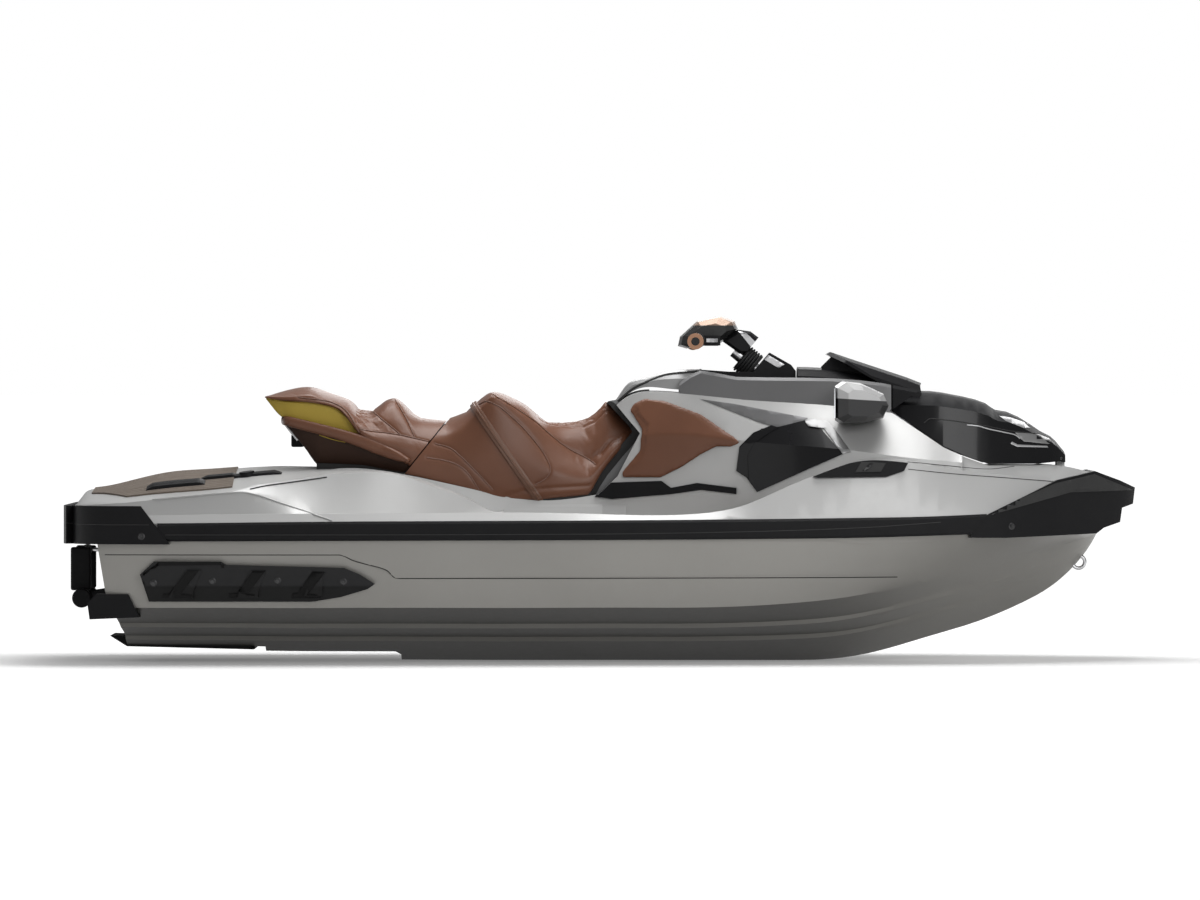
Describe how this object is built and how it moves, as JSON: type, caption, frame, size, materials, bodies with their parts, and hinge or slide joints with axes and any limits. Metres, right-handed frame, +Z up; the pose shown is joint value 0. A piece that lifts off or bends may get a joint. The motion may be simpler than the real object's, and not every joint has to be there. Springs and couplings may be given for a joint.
{
  "type": "personal watercraft",
  "caption": "Three-seat personal watercraft with V hull, stepped saddle, padded handlebar, jet pump, hinged hood, glove box lid and boarding ladder.",
  "frame": {"origin": "amidships on the centreline at the resting waterline, 250 mm above the keel", "axes": "+X towards the bow, +Y to port, +Z up"},
  "size_m": [3.45, 1.255, 1.1173],
  "materials": {
    "hull_shell": "metallic taupe gelcoat, glossy",
    "deck_shell": "metallic silver, glossy",
    "black_trim": "moulded black, fine grain",
    "black_gloss": "piano black, glossy",
    "satin_grey": "dark grey satin",
    "seat_vinyl": "brown marine vinyl, stitched",
    "pad_foam": "brown grained knee pad",
    "mat_foam": "taupe closed-cell traction mat",
    "pump_alloy": "cast, satin",
    "steel": "stainless, brushed",
    "engine_paint": "dark cast",
    "copper_trim": "copper anodised, satin",
    "grip_rubber": "ribbed rubber",
    "mirror_silver": "silvered",
    "smoked_screen": "smoked, glossy"
  },
  "bodies": {
    "craft": {"hull": "hull_shell", "deck": "deck_shell", "stern_bumper": "black_trim", "rub_rail_left": "black_trim", "rub_rail_right": "black_trim", "bow_bumper": "black_trim", "sponson_left": "black_trim", "sponson_right": "black_trim", "transom_foot_left": "black_trim", "transom_foot_right": "black_trim", "ride_plate": "pump_alloy", "knee_pad_left": "pad_foam", "knee_pad_right": "pad_foam", "foot_trim_left": "black_trim", "foot_trim_right": "black_trim", "side_cowl_left": "black_gloss", "side_cowl_right": "black_gloss", "vent_left": "black_trim", "vent_right": "black_trim", "side_fairing_left": "satin_grey", "side_fairing_right": "satin_grey", "rear_seat": "seat_vinyl", "front_seat": "seat_vinyl", "steering_base": "black_trim", "mirror_housing_left": "deck_shell", "mirror_housing_right": "deck_shell", "mirror_glass_left": "mirror_silver", "mirror_glass_right": "mirror_silver", "rear_mat": "mat_foam", "footwell_mat_left": "mat_foam", "footwell_mat_right": "mat_foam", "bow_eye": "steel", "stern_eye_left": "steel", "stern_eye_right": "steel", "cargo_cleat_left": "black_trim", "cargo_cleat_right": "black_trim", "pump_housing": "pump_alloy", "engine_block": "engine_paint", "intake_grate": "pump_alloy", "ladder_bracket_left": "black_trim", "ladder_bracket_right": "black_trim"},
    "handlebar": {"handlebar_stem": "steel", "handlebar_neck": "black_trim", "handlebar_pad": "copper_trim", "handlebar_tube": "black_trim", "grip_left": "grip_rubber", "grip_right": "grip_rubber", "grip_ring_left": "copper_trim", "grip_ring_right": "copper_trim", "lever_left": "steel", "lever_right": "steel"},
    "steering_nozzle": {"nozzle": "pump_alloy"},
    "reverse_bucket": {"reverse_gate": "pump_alloy"},
    "shafting": {"impeller": "steel", "drive_shaft": "steel"},
    "hood_lid": {"hood": "black_gloss", "dash": "black_trim", "deflector": "smoked_screen"},
    "glove_box_lid": {"glove_lid": "satin_grey"},
    "boarding_ladder": {"ladder": "steel"}
  },
  "joints": [
    {"name": "steering", "type": "hinge", "parent": "craft", "child": "handlebar", "pos_m": [0.4916, 0, 0.7017], "axis": [-0.769, 0, 0.6392], "range_deg": [-25, 25]},
    {"name": "nozzle_steer", "type": "hinge", "parent": "craft", "child": "steering_nozzle", "pos_m": [-1.435, 0, -0.05], "axis": [0, 0, 1], "range_deg": [-20, 20]},
    {"name": "reverse_swing", "type": "hinge", "parent": "craft", "child": "reverse_bucket", "pos_m": [-1.435, 0, -0.05], "axis": [0, -1, 0], "range_deg": [0, 90]},
    {"name": "impeller_spin", "type": "hinge", "parent": "craft", "child": "shafting", "pos_m": [-1.085, 0, -0.05], "axis": [1, 0, 0], "continuous": true},
    {"name": "hood_hinge", "type": "hinge", "parent": "craft", "child": "hood_lid", "pos_m": [1.488, 0, 0.406], "axis": [0, 1, 0], "range_deg": [0, 50]},
    {"name": "glove_lid_hinge", "type": "hinge", "parent": "craft", "child": "glove_box_lid", "pos_m": [0.3208, 0, 0.6901], "axis": [0, 1, 0], "range_deg": [0, 40]},
    {"name": "ladder_fold", "type": "hinge", "parent": "craft", "child": "boarding_ladder", "pos_m": [-1.676, 0, -0.044], "axis": [0, -1, 0], "range_deg": [0, 165]}
  ],
  "couplings": [
    {"joint": "nozzle_steer", "follows": "steering", "ratio": -0.8}
  ]
}
